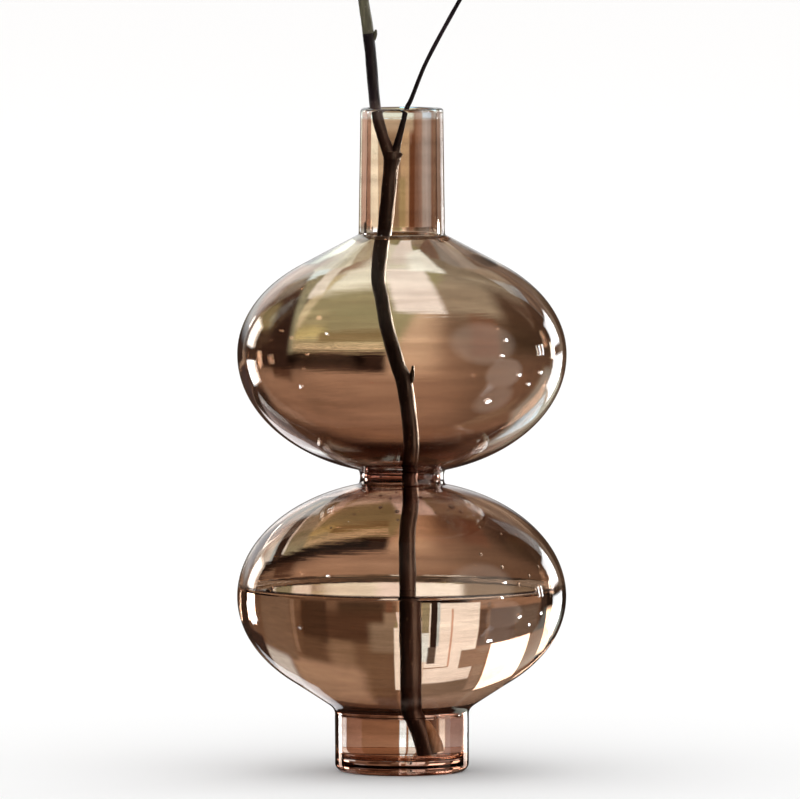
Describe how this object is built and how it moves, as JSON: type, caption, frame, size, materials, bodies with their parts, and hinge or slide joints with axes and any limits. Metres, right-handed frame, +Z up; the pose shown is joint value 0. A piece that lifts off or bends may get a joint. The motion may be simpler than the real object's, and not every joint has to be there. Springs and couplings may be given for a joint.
{
  "type": "bud vase",
  "caption": "Tall blown-glass bud vase of stacked flattened bulbs with a narrow waist, straight foot and straight neck, holding water and a forked twig that lifts out.",
  "frame": {"origin": "middle of the face that the foot stands on", "axes": "+Z up the vase's axis; -Y towards the viewer, with the thick branch leaning to -X"},
  "size_m": [0.124, 0.124, 0.3163],
  "materials": {
    "amber_glass": "polished, with a brown lustre film inside",
    "clear_glass": "fire-polished",
    "water": "still, clear",
    "bark": "satin, ridged bark",
    "olive_bark": "satin, young bark",
    "bare_wood": "matt, torn wood"
  },
  "bodies": {
    "vase": {"foot_base": "amber_glass", "foot_ring": "amber_glass", "lower_bulb": "amber_glass", "waist_collar": "amber_glass", "upper_bulb": "amber_glass", "neck_tube": "amber_glass", "rim_lip": "clear_glass", "water": "water"},
    "stem": {"cut_heel": "bark", "heel_wood": "bare_wood", "lower_cane": "bark", "upper_cane": "bark", "mid_spur": "olive_bark", "fork_collar": "bark", "fork_thorn": "bark", "left_branch": "bark", "left_bud": "olive_bark", "left_branch_tip": "olive_bark", "right_shoot": "bark", "shoot_tip": "olive_bark"}
  },
  "joints": [
    {"name": "stem_lift", "type": "slide", "parent": "vase", "child": "stem", "axis": [0, 0, 1], "range_m": [0, 0.26], "deforming": ["water"]}
  ]
}
